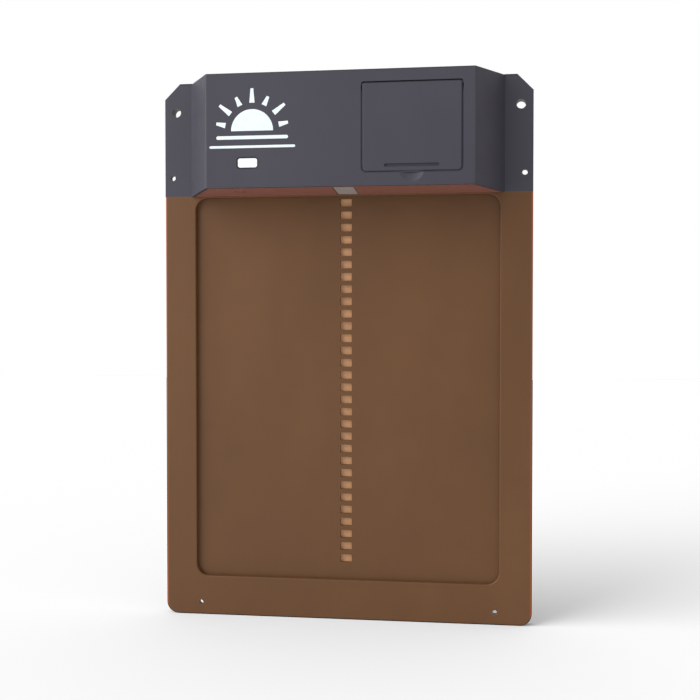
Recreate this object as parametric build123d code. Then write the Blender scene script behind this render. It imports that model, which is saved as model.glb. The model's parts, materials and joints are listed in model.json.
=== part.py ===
from build123d import *
import math
import os

# Automatic coop door. Millimetres, +Z up, the wall behind it is the plane y = 0,
# the front looks towards -Y, and x = 0 is the middle. The origin is the middle of
# the bottom edge of the back.

# overall
WIDTH = 240.0
HEIGHT = 350.0
FRAME_DEPTH = 9.0
HEAD_PROUD = 28.4
WALL = 2.0
SKIN = 3.2
BOTTOM_CORNER = 7.3
TOP_CHAMFER = 10.2
EDGE = 0.9
FINE_EDGE = 0.4

# doorway and gate
DOORWAY_HALF = 99.4
DOORWAY_LOW = 25.5
DOORWAY_HIGH = 275.0
DOORWAY_CORNER = 8.0
GATE_HALF = 105.0
GATE_LOW = 18.0
GATE_HIGH = 340.0
GATE_FRONT = -5.4
GATE_BACK = -2.2
RAIL_FRONT = -1.8
RAIL_INNER = 100.0

# rack of windows down the gate
RACK_PITCH = 8.0
WINDOW_FIRST = 39.0
WINDOW_COUNT = 36
WINDOW_WIDE = 7.6
WINDOW_TALL = 5.05
WINDOW_CORNER = 0.8
STRIP_THICK = 0.5
STRIP_WIDE = 11.0

# head
HEAD_LOW = 276.0
HEAD_LOW_FRONT = 278.0
HEAD_FOOT_HALF = 102.2
HEAD_FACE_HALF = 85.0
HEAD_PLATE_HALF = 101.5
FACE = -FRAME_DEPTH - HEAD_PROUD
PLATE_BACK = -FRAME_DEPTH + SKIN
SHELF_THICK = 2.5
HOOD_EDGE = 1.6
HOOD_RIM = 1.2
SCOOP_R = 24.3
SCOOP_DEEP = 1.3

# screw holes: x, z, radius; the small ones have short bosses
SHORT_BOSS = -4.5
BOSS_ROOT = PLATE_BACK - 0.4
BIG_HOLE = (112.3, HEIGHT - 18.8, 3.0)
SMALL_HOLE = (114.8, HEIGHT - 61.7, 1.75)
BOTTOM_HOLE = (96.7, 7.7, 1.75)
RAIL_SCREW_X = 110.5
RAIL_SCREW_HEIGHTS = (24.0, 90.0, 156.0, 222.0, 310.0)
COVER_SCREW_X, COVER_SCREW_Z = 113.0, 305.0
CHANNEL_GAP = 0.6
CHANNEL_WALL = 1.4
CHANNEL_LOW = GATE_LOW - 2.1

# gear train: every axis lies along X; teeth, module, place (y, z)
PRESSURE = math.radians(20)
PINION_TEETH = 10
PINION_RADIUS = RACK_PITCH * PINION_TEETH / (2 * math.pi)
PITCH_LINE = -4.1
DRIVE_Y = PITCH_LINE - PINION_RADIUS
DRIVE_Z = WINDOW_FIRST + 32 * RACK_PITCH
LARGE_ADDENDUM = 0.8
DEDENDUM = 1.2
BACKLASH = 0.1
OUTPUT_TEETH, OUTPUT_MODULE = 24, 0.8
LOWER_TEETH, LOWER_MODULE = 32, 0.6
UPPER_TEETH, UPPER_MODULE = 40, 0.5
SMALL_TEETH = 10
TRAIN_Y = -22.0
LOWER_REACH = OUTPUT_MODULE * (OUTPUT_TEETH + SMALL_TEETH) / 2
LOWER_Z = DRIVE_Z + math.sqrt(LOWER_REACH ** 2 - (TRAIN_Y - DRIVE_Y) ** 2)
UPPER_Z = LOWER_Z + LOWER_MODULE * (LOWER_TEETH + SMALL_TEETH) / 2
MOTOR_Z = UPPER_Z + UPPER_MODULE * (UPPER_TEETH + SMALL_TEETH) / 2
SHAFT_R = 2.0
IDLER_R = 1.0
RUN_GAP = 0.05
RACK_BACKLASH = 0.4
BUSHING_R = 3.5
PRESS_GAP = 0.02
GUARD_R, GUARD_BORE = 16.3, 14.9

# gearbox case
CASE_LEFT, CASE_RIGHT = -25.0, -4.9
CASE_FRONT, CASE_BACK = -34.6, -9.3
CASE_LOW, CASE_HIGH = 281.0, 346.0
CASE_WALL = 1.6
LID_LEFT = CASE_RIGHT - CASE_WALL

# motor
MOTOR_LEFT = -50.0
MOTOR_R = 10.0
MOTOR_FLAT = 7.7
CAN_WALL = 0.6
MOTOR_SHAFT_R = 1.0
MAGNET_LEFT, MAGNET_RIGHT = -44.0, -30.0
MAGNET_BORE = 7.6
ARMATURE_R = 6.7

# batteries: four AA cells side by side
CELL_R = 7.25
CELL_LONG = 50.5
CELL_STEP = 14.6
CELL_COUNT = 4
NUB_R, NUB_LONG = 2.6, 1.0
COVER_LEFT, COVER_RIGHT = 14.4, 77.0
COVER_LOW, COVER_HIGH = HEIGHT - 63.7, HEIGHT - 8.2
COVER_MID_X = (COVER_LEFT + COVER_RIGHT) / 2
COVER_SEAM = 0.4
COVER_CORNER = 3.0
HINGE_CORNER = 1.6
LEDGE_DEEP = 1.25
LEDGE_WIDE = 0.9
BAY_LOW, BAY_HIGH = 286.5, 341.5
CELL_Y = -27.6
TRAY_FRONT, TRAY_BACK = -34.4, -17.6
CONTACT_THICK = 0.4
HINGE_Y, HINGE_Z = FACE + 1.4, COVER_HIGH - 1.2
HINGE_R = 0.8
EAR_THICK = 2.2
SLOT_LEFT, SLOT_RIGHT = 28.6, 62.5
SLOT_LOW, SLOT_TALL = HEIGHT - 60.6, 2.0
SLOT_DEEP = 1.15
TRAY_WALL = 1.5
TRAY_ROOM = 0.35
TRAY_SIDE = COVER_MID_X - (CELL_COUNT - 1) / 2 * CELL_STEP - CELL_R - TRAY_ROOM - TRAY_WALL
CONTACT_HALF = 5.0
SPRING_R, SPRING_WIRE, SPRING_TURNS = 4.0, 0.3, 3

# circuit board
BOARD_LEFT, BOARD_RIGHT = -80.0, -53.5
BOARD_LOW, BOARD_HIGH = 283.0, 344.0
BOARD_FRONT, BOARD_THICK = -31.0, 1.6
BOARD_BACK = BOARD_FRONT + BOARD_THICK
CONNECTOR_RIGHT = -59.5
LEAD_R = 0.5
SENSOR_X, SENSOR_Z = -57.8, HEIGHT - 56.5
SENSOR_HALF_WIDE, SENSOR_HALF_TALL = 6.15, 2.85
SENSOR_REACH = 3.2
BUTTON_X, BUTTON_Y = -66.0, -23.0
BUTTON_TOP = 281.8
BUTTON_R, BUTTON_RIM_R = 4.0, 5.2
BUTTON_LIP = 1.2
BUTTON_TRAVEL = 1.0


def box(x0, x1, y0, y1, z0, z1):
    """Box between two corners."""
    centre = Pos((x0 + x1) / 2, (y0 + y1) / 2, (z0 + z1) / 2)
    return centre * Box(x1 - x0, y1 - y0, z1 - z0)


def rod_x(y, z, radius, x0, x1):
    """Round bar along X."""
    return Pos((x0 + x1) / 2, y, z) * Rot(0, 90, 0) * Cylinder(radius, x1 - x0)


def rod_y(x, z, radius, y0, y1):
    """Round bar along Y."""
    return Pos(x, (y0 + y1) / 2, z) * Rot(90, 0, 0) * Cylinder(radius, y1 - y0)


def rod_z(x, y, radius, z0, z1):
    """Round bar along Z."""
    return Pos(x, y, (z0 + z1) / 2) * Cylinder(radius, z1 - z0)


def slab(sketch, y0, y1):
    """A sketch drawn in X and Z, given thickness from y0 back to y1."""
    return extrude(Plane.XZ.offset(-y1) * sketch, amount=y1 - y0)


def rounded_slab(x0, x1, z0, z1, radius, y0, y1):
    """Plate with rounded corners, facing the front."""
    sketch = Pos((x0 + x1) / 2, (z0 + z1) / 2) * RectangleRounded(x1 - x0, z1 - z0, radius)
    return slab(sketch, y0, y1)


def screw(x, z, head_y, tip_y, radius, head_radius, head_thick):
    """Screw driven from behind, with a cross slot in its head."""
    shank = rod_y(x, z, radius, tip_y, head_y - head_thick)
    head = rod_y(x, z, head_radius, head_y - head_thick, head_y)
    slot_long = head_radius * 0.6
    slot = box(x - slot_long, x + slot_long, head_y - 0.5, head_y + 0.1, z - 0.25, z + 0.25)
    cross = box(x - 0.25, x + 0.25, head_y - 0.5, head_y + 0.1, z - slot_long, z + slot_long)
    return shank + head - slot - cross


# ---- outlines -------------------------------------------------------------

def frame_outline():
    """Face of the whole door: rounded bottom corners, chamfered top corners."""
    half = WIDTH / 2
    plain = Pos(0, HEIGHT / 2) * Rectangle(WIDTH, HEIGHT)
    low = [v for v in plain.vertices() if v.Y < 1]
    plain = fillet(low, BOTTOM_CORNER)
    high = [v for v in plain.vertices() if v.Y > HEIGHT - 1 and abs(v.X) > half - 1]
    return chamfer(high, TOP_CHAMFER)


def head_prism(inset, z0, z1, back):
    """Upright prism with the head's plan outline, drawn in by inset."""
    lean = (HEAD_FOOT_HALF - HEAD_FACE_HALF) / HEAD_PROUD
    side = inset * math.sqrt(1 + lean * lean)
    front = FACE + inset
    front_half = HEAD_FACE_HALF + lean * inset - side
    back_half = HEAD_FOOT_HALF + lean * (back + FRAME_DEPTH) - side
    corners = [(-back_half, back), (-front_half, front), (front_half, front), (back_half, back)]
    plan = make_face(Polyline(*corners, close=True))
    return extrude(Plane.XY.offset(z0) * plan, amount=z1 - z0)


def below_head(drop, depth):
    """Slab whose top follows the head's sloping underside, lowered by drop."""
    rise = (HEAD_LOW_FRONT - HEAD_LOW) / HEAD_PROUD
    front = FACE - 5
    back = -FRAME_DEPTH
    z_front = HEAD_LOW + rise * (back - front) - drop
    z_back = HEAD_LOW - drop
    side = make_face(Polyline((front, z_front), (back, z_back), (back, z_back - depth),
                              (front, z_front - depth), close=True))
    return extrude(Plane.YZ.offset(-WIDTH / 2) * side, amount=WIDTH)


# ---- gears ----------------------------------------------------------------

def involute(angle):
    return math.tan(angle) - angle


def gear_outline(teeth, module, phase, addendum, dedendum, backlash):
    """Involute gear seen along X; the angle grows from +Y towards +Z."""
    pitch_r = module * teeth / 2
    base_r = pitch_r * math.cos(PRESSURE)
    root_r = pitch_r - dedendum
    tip_r = pitch_r + addendum
    half = math.pi / (2 * teeth) - backlash / (2 * pitch_r) + involute(PRESSURE)
    start = max(base_r, root_r)
    radii = [start + (tip_r - start) * i / 4 for i in range(5)]
    if root_r < base_r:
        radii = [root_r] + radii
    flank = []
    for r in radii:
        roll = involute(math.acos(min(1.0, base_r / r)))
        flank.append((r, half - roll))
    points = []
    for tooth in range(teeth):
        middle = phase + 2 * math.pi * tooth / teeth
        rising = [(r * math.cos(middle - a), r * math.sin(middle - a)) for r, a in flank]
        falling = [(r * math.cos(middle + a), r * math.sin(middle + a)) for r, a in reversed(flank)]
        points += rising + falling
    return make_face(Polyline(*points, close=True))


def gear(teeth, module, phase, addendum, y, z, x0, x1):
    """Spur gear between x0 and x1 with its axis at y, z."""
    outline = gear_outline(teeth, module, phase, addendum * module, DEDENDUM * module, BACKLASH)
    return extrude(Plane.YZ.offset(x0) * Pos(y, z) * outline, amount=x1 - x0)


def mesh_phase(direction, phase, teeth, next_teeth):
    """Phase of a gear that meshes with another lying in the opposite direction."""
    return direction + math.pi + math.pi / next_teeth + (direction - phase) * teeth / next_teeth


# ---- frame ----------------------------------------------------------------

def hole_through(hole, side, y0, y1):
    x, z, radius = hole
    return rod_y(side * x, z, radius, y0, y1)


def frame_bosses(side):
    """Round the mounting holes, behind the front wall."""
    big_x, big_z, big_r = BIG_HOLE
    small_x, small_z, small_r = SMALL_HOLE
    low_x, low_z, low_r = BOTTOM_HOLE
    bosses = rod_y(side * big_x, big_z, big_r + 2.4, BOSS_ROOT, RAIL_FRONT)
    bosses += rod_y(side * small_x, small_z, small_r + 1.4, BOSS_ROOT, SHORT_BOSS)
    bosses += rod_y(side * low_x, low_z, low_r + 2.2, BOSS_ROOT, SHORT_BOSS)
    return bosses


def rail_screw_places():
    """Where each rail is screwed to the frame: x, z."""
    return [(RAIL_SCREW_X, z) for z in RAIL_SCREW_HEIGHTS]


def cover_screw_places():
    """Screws that hold the head cover, driven from behind the frame: x, z."""
    return [(side * COVER_SCREW_X, COVER_SCREW_Z) for side in (-1, 1)]


def board_screw_places():
    inset = 4
    return [(x, z) for z in (BOARD_LOW + inset, BOARD_HIGH - inset)
            for x in (BOARD_LEFT + inset, BOARD_RIGHT - inset)]


def frame_shell():
    """Front wall with a skirt round the sides and bottom, open at the back and top."""
    shell = slab(frame_outline(), -FRAME_DEPTH, 0)
    inner_half = WIDTH / 2 - WALL
    inside = Pos(0, HEIGHT / 2 + WALL) * Rectangle(2 * inner_half, HEIGHT)
    hollow = slab(inside & offset(frame_outline(), -WALL), PLATE_BACK, 1)
    channel_half = GATE_HALF + CHANNEL_GAP
    slot = box(-channel_half, channel_half, PLATE_BACK, 1, HEIGHT - WALL - 8, HEIGHT + 1)
    rim = shell.faces().sort_by(Axis.Y)[0].outer_wire().edges()
    return fillet(rim, EDGE) - hollow - slot


def shelf():
    """Sloping floor that closes the head from below, notched for the drive pinion."""
    floor = head_prism(WALL + 0.15, HEAD_LOW - 3, HEAD_LOW + 12, PLATE_BACK - 0.5)
    floor = floor & below_head(-SHELF_THICK, SHELF_THICK)
    notch = box(-4.6, 9.2, FACE + 3.6, -FRAME_DEPTH, HEAD_LOW - 4, HEAD_LOW + 8)
    button_hole = rod_z(BUTTON_X, BUTTON_Y, BUTTON_R + 0.2, HEAD_LOW - 4, HEAD_LOW + 8)
    return floor - notch - button_hole


def base_frame():
    body = frame_shell()
    doorway = rounded_slab(-DOORWAY_HALF, DOORWAY_HALF, DOORWAY_LOW, DOORWAY_HIGH,
                           DOORWAY_CORNER, -FRAME_DEPTH - 1, PLATE_BACK + 1)
    body -= doorway
    lip = [e for e in body.edges() if abs(e.center().Y + FRAME_DEPTH) < 0.01
           and abs(e.center().X) < DOORWAY_HALF + 0.1 and DOORWAY_LOW - 0.1 < e.center().Z < DOORWAY_HIGH - 1]
    body = fillet(lip, EDGE - 0.1)
    step = box(-WIDTH, WIDTH, -FRAME_DEPTH - 1, -FRAME_DEPTH + WALL, HEAD_LOW, HEIGHT + 1)
    step -= box(-HEAD_PLATE_HALF, HEAD_PLATE_HALF, -FRAME_DEPTH - 2, 0, HEAD_LOW - 1, HEIGHT + 2)
    body -= step
    channel_half = GATE_HALF + CHANNEL_GAP
    for side in (-1, 1):
        x0, x1 = sorted((side * channel_half, side * (channel_half + CHANNEL_WALL)))
        body += box(x0, x1, BOSS_ROOT, RAIL_FRONT, CHANNEL_LOW, HEIGHT)
        body += frame_bosses(side)
        for x, z in rail_screw_places():
            body += rod_y(side * x, z, 3.2, BOSS_ROOT, RAIL_FRONT)
            body -= rod_y(side * x, z, 1.2, PLATE_BACK + 0.6, RAIL_FRONT + 1)
        for hole in (BIG_HOLE, SMALL_HOLE, BOTTOM_HOLE):
            body -= hole_through(hole, side, -FRAME_DEPTH - 1, 1)
    outer_half = channel_half + CHANNEL_WALL
    body += box(-outer_half, outer_half, BOSS_ROOT, RAIL_FRONT, CHANNEL_LOW, GATE_LOW - 0.1)
    body += shelf()
    for x, z in board_screw_places():
        body += rod_y(x, z, 3.0, BOARD_BACK, -FRAME_DEPTH + 0.4)
        body -= rod_y(x, z, 1.0, BOARD_BACK - 1, BOARD_BACK + 8)
    for x, z in cover_screw_places():
        body -= rod_y(x, z, 1.3, -FRAME_DEPTH - 1, PLATE_BACK + 1)
    reach = PINION_RADIUS + 0.4
    body -= box(-4.6, 4.6, -FRAME_DEPTH - 1, PLATE_BACK + 1, DRIVE_Z - reach, DRIVE_Z + reach)
    body -= box(-13.2, -7.0, -FRAME_DEPTH - 1, PLATE_BACK + 1, DRIVE_Z - 9.4, DRIVE_Z + 9.4)
    return body


def side_rail(side):
    """Strip behind one edge of the gate that keeps it in its channel."""
    x0, x1 = sorted((side * RAIL_INNER, side * (WIDTH / 2 - WALL - 0.2)))
    rail = box(x0, x1, RAIL_FRONT, 0, 13.0, HEIGHT - TOP_CHAMFER - 1.5)
    rail -= hole_through(BIG_HOLE, side, -3, 1)
    small_x, small_z, small_r = SMALL_HOLE
    rail -= rod_y(side * small_x, small_z, small_r + 1.6, -3, 1)
    for x, z in rail_screw_places():
        rail -= rod_y(side * x, z, 1.35, -3, 1)
        rail -= rod_y(side * x, z, 2.4, -1.1, 1)
    for x, z in cover_screw_places():
        if x * side > 0:
            rail -= rod_y(x, z, 2.8, -3, 1)
    return rail


def rear_bridge():
    """Plate behind the gate at head height that ties the two rails together."""
    bridge = box(-RAIL_INNER + 0.2, RAIL_INNER - 0.2, RAIL_FRONT, 0, HEAD_LOW + 1, HEIGHT - 2)
    for x in (-60, -20, 20, 60):
        bridge -= rounded_slab(x - 15, x + 15, HEAD_LOW + 12, HEIGHT - 14, 4, -3, 1)
    return bridge


def rail_screws():
    screws = []
    for side in (-1, 1):
        for x, z in rail_screw_places():
            screws.append(screw(side * x, z, -0.2, PLATE_BACK + 0.8, 1.15, 2.2, 0.85))
    return screws


# ---- gate -----------------------------------------------------------------

def gate_panel():
    panel = rounded_slab(-GATE_HALF, GATE_HALF, GATE_LOW, GATE_HIGH, 4, GATE_FRONT, GATE_BACK)
    window = RectangleRounded(WINDOW_WIDE, WINDOW_TALL, WINDOW_CORNER)
    places = [Pos(0, WINDOW_FIRST + k * RACK_PITCH) for k in range(WINDOW_COUNT)]
    panel -= slab(Sketch() + [place * window for place in places], GATE_FRONT - 1, GATE_BACK + 1)
    panel -= strip_box(0.0)
    return panel


def strip_box(gap):
    low = WINDOW_FIRST - RACK_PITCH
    high = WINDOW_FIRST + WINDOW_COUNT * RACK_PITCH
    half = STRIP_WIDE / 2 - gap
    front = GATE_BACK - STRIP_THICK
    return box(-half, half, front, GATE_BACK, low + gap, high - gap)


# ---- head cover -----------------------------------------------------------

def cover_hood():
    hood = head_prism(0, HEAD_LOW - 2, HEIGHT, -FRAME_DEPTH)
    upright = [e for e in hood.edges().filter_by(Axis.Z) if e.center().Y < FACE + 1]
    hood = fillet(upright, HOOD_EDGE)
    rim = [e for e in hood.edges() if e.center().Z > HEIGHT - 0.1 and e.center().Y < -FRAME_DEPTH - 1]
    return fillet(rim, HOOD_RIM) - below_head(0, 20)


def sensor_recess(grow, y0, y1):
    half_wide, half_tall = SENSOR_HALF_WIDE + grow, SENSOR_HALF_TALL + grow
    return rounded_slab(SENSOR_X - half_wide, SENSOR_X + half_wide, SENSOR_Z - half_tall,
                        SENSOR_Z + half_tall, 1.4 + grow, y0, y1)


def cover_sketch(grow):
    """Outline of the battery cover, grown by grow.

    The corners beside the hinge are tighter than the lower ones, so that they clear
    the head as the cover opens.
    """
    wide, tall = COVER_RIGHT - COVER_LEFT + 2 * grow, COVER_HIGH - COVER_LOW + 2 * grow
    plain = Pos(COVER_MID_X, (COVER_LOW + COVER_HIGH) / 2) * Rectangle(wide, tall)
    lower = fillet([v for v in plain.vertices() if v.Y < COVER_LOW + 5], COVER_CORNER + grow)
    return fillet([v for v in lower.vertices() if v.Y > COVER_HIGH - 0.5], HINGE_CORNER + grow)


def cover_ledge():
    """Step behind the seam at the sides and bottom of the battery opening."""
    grow = COVER_SEAM + 0.5
    outer = slab(cover_sketch(grow), FACE + LEDGE_DEEP, FACE + WALL)
    inner = rounded_slab(COVER_LEFT + LEDGE_WIDE, COVER_RIGHT - LEDGE_WIDE, COVER_LOW + LEDGE_WIDE,
                         COVER_HIGH + 5, 2.2, FACE, FACE + WALL + 1)
    below_hinge = box(0, WIDTH, FACE, 0, 0, HINGE_Z - 3.2)
    return (outer - inner) & below_hinge


def head_cover():
    flange = slab(frame_outline(), -FRAME_DEPTH, -FRAME_DEPTH + WALL)
    flange &= box(-WIDTH, WIDTH, -FRAME_DEPTH, 0, HEAD_LOW, HEIGHT)
    cover = flange + cover_hood()
    cover -= head_prism(WALL, HEAD_LOW - 6, HEIGHT - WALL, -FRAME_DEPTH)
    plate_half = HEAD_PLATE_HALF + 0.1
    cover -= box(-plate_half, plate_half, -FRAME_DEPTH, 0, HEAD_LOW - 3, HEIGHT + 1)
    cover -= slab(cover_sketch(COVER_SEAM), FACE - 1, FACE + WALL + 1)
    cover -= Pos(COVER_MID_X - 0.2, FACE + SCOOP_DEEP - SCOOP_R, COVER_LOW + 1.6) * Sphere(SCOOP_R)
    cover -= sensor_recess(0.9, FACE - 1, FACE + 1.0)
    cover -= sensor_recess(-0.6, FACE - 1, FACE + WALL + 1)
    cover += cover_ledge()
    for ear_x in (COVER_LEFT - 3.0, COVER_RIGHT + COVER_SEAM):
        cover += box(ear_x, ear_x + EAR_THICK, FACE + WALL - 0.5, HINGE_Y + EAR_THICK,
                     HINGE_Z - EAR_THICK, HINGE_Z + EAR_THICK)
    cover -= rod_x(HINGE_Y, HINGE_Z, HINGE_R + RUN_GAP, COVER_LEFT - 2.6, COVER_RIGHT + 2.6)
    for side in (-1, 1):
        for hole in (BIG_HOLE, SMALL_HOLE):
            cover -= hole_through(hole, side, -FRAME_DEPTH - 1, 0)
    for x, z in cover_screw_places():
        cover -= rod_y(x, z, 1.0, -FRAME_DEPTH + 0.6, 0)
    return cover


def cover_screws():
    return [screw(x, z, -3.2, -FRAME_DEPTH + 0.8, 0.98, 2.2, 2.4) for x, z in cover_screw_places()]


def sensor_window():
    """White translucent lens over the light sensor."""
    lens = sensor_recess(0, FACE + 0.1, FACE + 1.0)
    return lens + sensor_recess(-0.7, FACE + 0.9, FACE + 2.4)


# ---- battery cover --------------------------------------------------------

def battery_cover():
    plate = slab(cover_sketch(0), FACE, FACE + WALL)
    top = [e for e in plate.edges().filter_by(Axis.X) if e.center().Z > COVER_HIGH - 0.1]
    plate = chamfer([e for e in top if e.center().Y < FACE + 0.1], 1.0)
    front = [e for e in plate.edges() if abs(e.center().Y - FACE) < 0.01 and e.center().Z < COVER_HIGH - 3.1]
    plate = fillet(front, FINE_EDGE)
    plate -= rounded_slab(SLOT_LEFT, SLOT_RIGHT, SLOT_LOW, SLOT_LOW + SLOT_TALL, SLOT_TALL / 2 - 0.05,
                          FACE - 1, FACE + SLOT_DEEP)
    step = box(0, WIDTH, FACE + LEDGE_DEEP - 0.1, FACE + WALL + 1, 0, HINGE_Z - 2.8)
    inset = LEDGE_WIDE + 0.4
    step -= rounded_slab(COVER_LEFT + inset, COVER_RIGHT - inset, COVER_LOW + inset, COVER_HIGH + 5,
                         1.8, FACE, FACE + WALL + 2)
    plate -= step
    plate += rod_x(HINGE_Y, HINGE_Z, HINGE_R, COVER_LEFT - 2.4, COVER_RIGHT + 2.4)
    plate += box(COVER_MID_X - 5, COVER_MID_X + 5, FACE + 0.5, FACE + 1.1, COVER_LOW - 0.2, COVER_LOW + 0.4)
    for z in (305, 325):
        plate += box(COVER_LEFT + 8, COVER_RIGHT - 8, FACE + WALL - 0.2, FACE + WALL + 0.25, z - 0.6, z + 0.6)
    return plate


def battery_seal():
    """Rubber ring on the back of the battery cover."""
    y0, y1 = FACE + WALL, FACE + WALL + 0.4
    ring = rounded_slab(COVER_LEFT + 1.6, COVER_RIGHT - 1.6, COVER_LOW + 1.6, COVER_HIGH - 4.4, 2.4, y0, y1)
    return ring - rounded_slab(COVER_LEFT + 3.0, COVER_RIGHT - 3.0, COVER_LOW + 7.4, COVER_HIGH - 5.8,
                               1.6, y0 - 1, y1 + 1)


# ---- batteries ------------------------------------------------------------

def cell_x(index):
    return COVER_MID_X + (index - (CELL_COUNT - 1) / 2) * CELL_STEP


def cell_span(index):
    """Lower and upper end of a cell; neighbours point opposite ways."""
    if index % 2 == 0:
        top = BAY_HIGH - CONTACT_THICK
        return top - CELL_LONG, top
    low = BAY_LOW + CONTACT_THICK
    return low, low + CELL_LONG


def battery_cell(index):
    low, high = cell_span(index)
    x = cell_x(index)
    up = index % 2 == 0
    body_low = low if up else low + NUB_LONG
    body_high = high - NUB_LONG if up else high
    can = rod_z(x, CELL_Y, CELL_R, body_low, body_high)
    can = fillet(can.edges().filter_by(GeomType.CIRCLE), 0.6)
    nub_low, nub_high = (body_high - 0.2, high) if up else (low, body_low + 0.2)
    return can + rod_z(x, CELL_Y, NUB_R, nub_low, nub_high)


def battery_spring(index):
    """Coil that presses on the flat end of a cell."""
    low, high = cell_span(index)
    up = index % 2 == 0
    z0 = BAY_LOW + CONTACT_THICK if up else high
    z1 = low if up else BAY_HIGH - CONTACT_THICK
    tall = z1 - z0 - 2 * SPRING_WIRE - 0.1
    path = Helix(pitch=tall / SPRING_TURNS, height=tall, radius=SPRING_R)
    profile = Plane(origin=path @ 0, z_dir=path % 0) * Circle(SPRING_WIRE)
    coil = sweep(profile, path=path, is_frenet=True)
    return Pos(cell_x(index), CELL_Y, z0 + SPRING_WIRE + 0.05) * coil


def battery_contacts():
    """Plates at each end of the bay; pairs of cells share one."""
    y0, y1 = CELL_Y - CONTACT_HALF, CELL_Y + CONTACT_HALF
    high = BAY_HIGH - CONTACT_THICK
    spans = [(0, 0, BAY_LOW), (1, 2, BAY_LOW), (3, 3, BAY_LOW), (0, 1, high), (2, 3, high)]
    plates = []
    for first, last, z in spans:
        x0, x1 = cell_x(first) - CONTACT_HALF, cell_x(last) + CONTACT_HALF
        plates.append(box(x0, x1, y0, y1, z, z + CONTACT_THICK))
    return plates


def battery_holder():
    """Tray for the cells, with low ribs between them."""
    wall = TRAY_WALL
    x0, x1 = TRAY_SIDE + wall, cell_x(CELL_COUNT - 1) + CELL_R + TRAY_ROOM
    tray = box(x0 - wall, x1 + wall, TRAY_FRONT, TRAY_BACK, BAY_LOW - wall, BAY_HIGH + wall)
    tray -= box(x0, x1, TRAY_FRONT - 1, TRAY_BACK - wall, BAY_LOW, BAY_HIGH)
    for index in range(CELL_COUNT - 1):
        x = cell_x(index) + CELL_STEP / 2
        rib = box(x - 1.6, x + 1.6, CELL_Y + 3.6, TRAY_BACK - wall + 0.2, BAY_LOW + 1, BAY_HIGH - 1)
        for beside in (index, index + 1):
            rib -= rod_z(cell_x(beside), CELL_Y, CELL_R + 0.2, BAY_LOW - 1, BAY_HIGH + 1)
        tray += rib
    for x in (x0 + 6, x1 - 6):
        for z in (BAY_LOW + 6, BAY_HIGH - 6):
            tray += rod_y(x, z, 2.6, TRAY_BACK - 0.3, -FRAME_DEPTH)
    return tray


# ---- drive ----------------------------------------------------------------

def drive_pinion():
    module = RACK_PITCH / math.pi
    outline = gear_outline(PINION_TEETH, module, 0, 1.25, 1.9, RACK_BACKLASH)
    wheel = extrude(Plane.YZ.offset(-3.0) * Pos(DRIVE_Y, DRIVE_Z) * outline, amount=6.0)
    wheel += rod_x(DRIVE_Y, DRIVE_Z, 4.4, -4.4, 4.4)
    return wheel - rod_x(DRIVE_Y, DRIVE_Z, SHAFT_R, -6, 6)


def drive_shaft():
    return rod_x(DRIVE_Y, DRIVE_Z, SHAFT_R, CASE_LEFT + 0.4, 8.2)


def output_gear():
    wheel = gear(OUTPUT_TEETH, OUTPUT_MODULE, 0, LARGE_ADDENDUM, DRIVE_Y, DRIVE_Z, -12.2, -8.2)
    wheel += rod_x(DRIVE_Y, DRIVE_Z, 3.6, -12.8, -7.2)
    return wheel - rod_x(DRIVE_Y, DRIVE_Z, SHAFT_R, -15, -5)


def lower_compound_gear():
    direction = math.atan2(LOWER_Z - DRIVE_Z, TRAIN_Y - DRIVE_Y)
    phase = mesh_phase(direction, 0, OUTPUT_TEETH, SMALL_TEETH)
    wheel = gear(SMALL_TEETH, OUTPUT_MODULE, phase, 1.0, TRAIN_Y, LOWER_Z, -13.4, -7.6)
    wheel += gear(LOWER_TEETH, LOWER_MODULE, 0, LARGE_ADDENDUM, TRAIN_Y, LOWER_Z, -16.4, -13.4)
    return wheel - rod_x(TRAIN_Y, LOWER_Z, IDLER_R + RUN_GAP, -30, 0)


def upper_compound_gear():
    phase = mesh_phase(math.pi / 2, 0, LOWER_TEETH, SMALL_TEETH)
    wheel = gear(SMALL_TEETH, LOWER_MODULE, phase, 1.0, TRAIN_Y, UPPER_Z, -18.4, -12.8)
    wheel += gear(UPPER_TEETH, UPPER_MODULE, 0, LARGE_ADDENDUM, TRAIN_Y, UPPER_Z, -20.9, -18.4)
    return wheel - rod_x(TRAIN_Y, UPPER_Z, IDLER_R + RUN_GAP, -30, 0)


def motor_pinion():
    phase = mesh_phase(math.pi / 2, 0, UPPER_TEETH, SMALL_TEETH)
    wheel = gear(SMALL_TEETH, UPPER_MODULE, phase, 1.0, TRAIN_Y, MOTOR_Z, -21.4, -17.6)
    return wheel - rod_x(TRAIN_Y, MOTOR_Z, MOTOR_SHAFT_R, -30, 0)


def idler_shaft(z):
    return rod_x(TRAIN_Y, z, IDLER_R, CASE_LEFT + 0.4, CASE_RIGHT - 0.2)


def case_outline(inset):
    middle = Pos((CASE_FRONT + CASE_BACK) / 2, (CASE_LOW + CASE_HIGH) / 2)
    wide, tall = CASE_BACK - CASE_FRONT - 2 * inset, CASE_HIGH - CASE_LOW - 2 * inset
    return middle * RectangleRounded(wide, tall, 4.0 - inset)


def case_screw_places():
    return [(CASE_FRONT + 3.0, CASE_LOW + 3.0), (CASE_BACK - 3.0, CASE_HIGH - 3.0),
            (CASE_FRONT + 3.0, CASE_HIGH - 3.0)]


def case_holes(x0, x1):
    """Bores for the idler shafts and for the drive shaft's bushing."""
    holes = rod_x(DRIVE_Y, DRIVE_Z, BUSHING_R + PRESS_GAP, x0, x1)
    for z in (LOWER_Z, UPPER_Z):
        holes += rod_x(TRAIN_Y, z, IDLER_R + PRESS_GAP, x0, x1)
    return holes


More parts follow.
